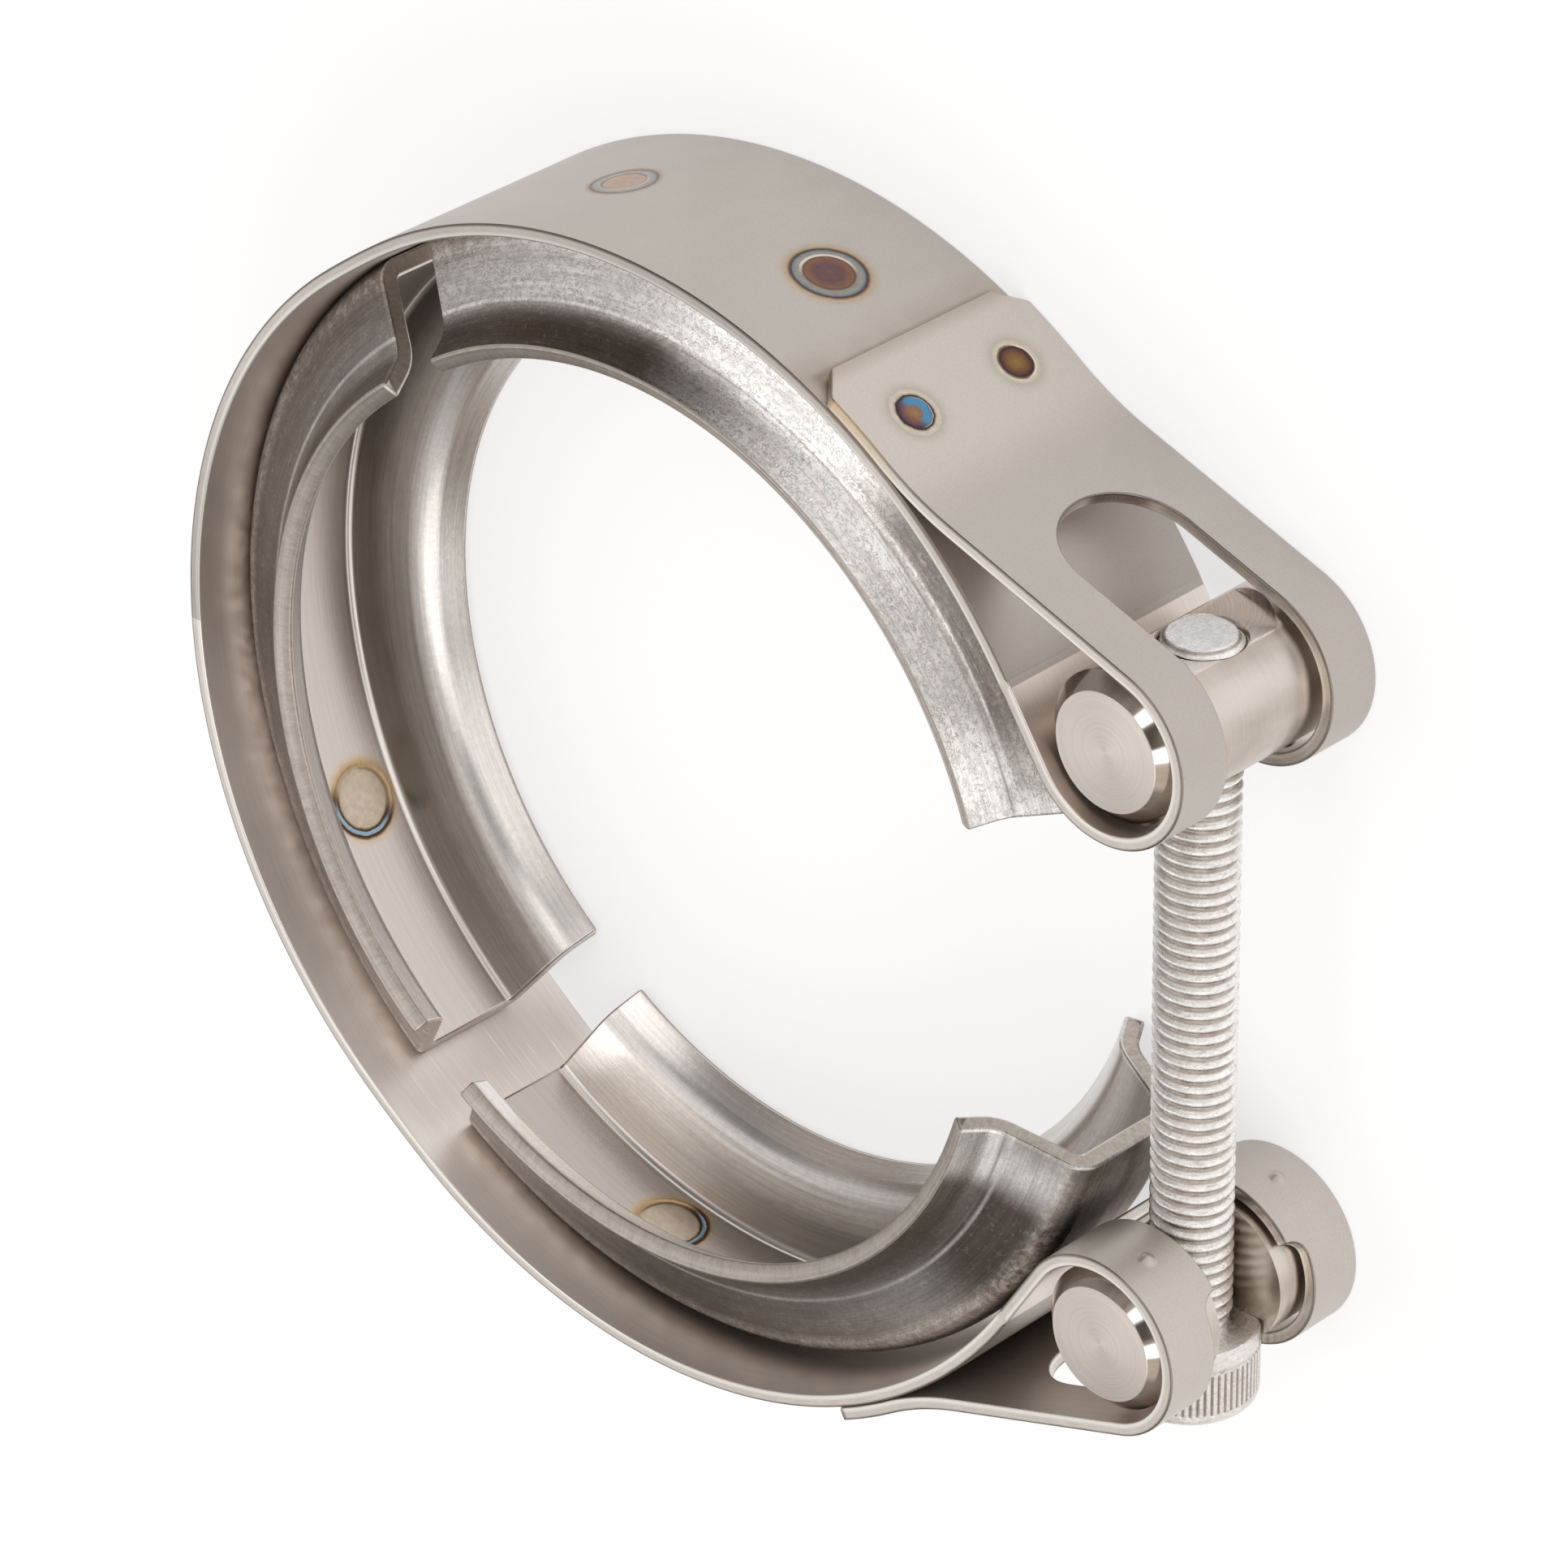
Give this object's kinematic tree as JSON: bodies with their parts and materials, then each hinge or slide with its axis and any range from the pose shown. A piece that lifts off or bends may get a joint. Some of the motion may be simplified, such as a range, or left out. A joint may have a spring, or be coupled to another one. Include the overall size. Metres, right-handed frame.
{
  "type": "v-band pipe clamp",
  "caption": "V-band clamp for an exhaust joint: stainless band with V segments inside, its loops drawn together by a socket-head bolt through two trunnions.",
  "frame": {"origin": "centre of the middle segment's arc, on the mid-plane of the V groove, with the clamp open as pictured", "axes": "+Z along the ring's axis, +X from the centre toward the bolt, +Y along the bolt from its head to its tip"},
  "size_m": [0.0984, 0.0912, 0.0196],
  "materials": {
    "band": "satin, bead-blasted outside",
    "segment_upper": "satin, mottled on the outer legs",
    "segment_middle": "satin, mottled on the outer legs",
    "segment_lower": "satin, mottled on the outer legs",
    "upper_trunnion": "turned, bright chamfers",
    "lower_trunnion": "turned, bright chamfers",
    "clamp_bolt": "grey zinc"
  },
  "bodies": {
    "middle": {"segment_middle": "segment_middle", "band": "band"},
    "upper_arm": {"segment_upper": "segment_upper"},
    "lower_arm": {"segment_lower": "segment_lower"},
    "upper_pivot": {"upper_trunnion": "upper_trunnion"},
    "lower_pivot": {"lower_trunnion": "lower_trunnion"},
    "bolt": {"clamp_bolt": "clamp_bolt"}
  },
  "joints": [
    {"name": "upper_close", "type": "hinge", "parent": "middle", "child": "upper_arm", "pos_m": [-0.02342, 0.03606, 0], "axis": [0, 0, -1], "range_deg": [0, 5.15], "deforming": ["band"]},
    {"name": "lower_close", "type": "hinge", "parent": "middle", "child": "lower_arm", "pos_m": [-0.02342, -0.03606, 0], "axis": [0, 0, 1], "range_deg": [0, 4.55]},
    {"name": "upper_pivot_turn", "type": "hinge", "parent": "upper_arm", "child": "upper_pivot", "pos_m": [0.04792, 0.02401, 0], "axis": [0, 0, 1], "range_deg": [0, 5.36]},
    {"name": "lower_pivot_turn", "type": "hinge", "parent": "lower_arm", "child": "lower_pivot", "pos_m": [0.04792, -0.02327, 0], "axis": [0, 0, -1], "range_deg": [0, 4.34]},
    {"name": "bolt_turn", "type": "hinge", "parent": "lower_pivot", "child": "bolt", "pos_m": [0.04792, -0.02327, 0], "axis": [0, 1, 0], "range_deg": [0, 4312]}
  ],
  "couplings": [
    {"joint": "lower_close", "follows": "upper_close", "ratio": 0.8835},
    {"joint": "upper_pivot_turn", "follows": "upper_close", "ratio": 1.0408},
    {"joint": "lower_pivot_turn", "follows": "upper_close", "ratio": 0.8427},
    {"joint": "bolt_turn", "follows": "upper_close", "ratio": 837.1}
  ]
}
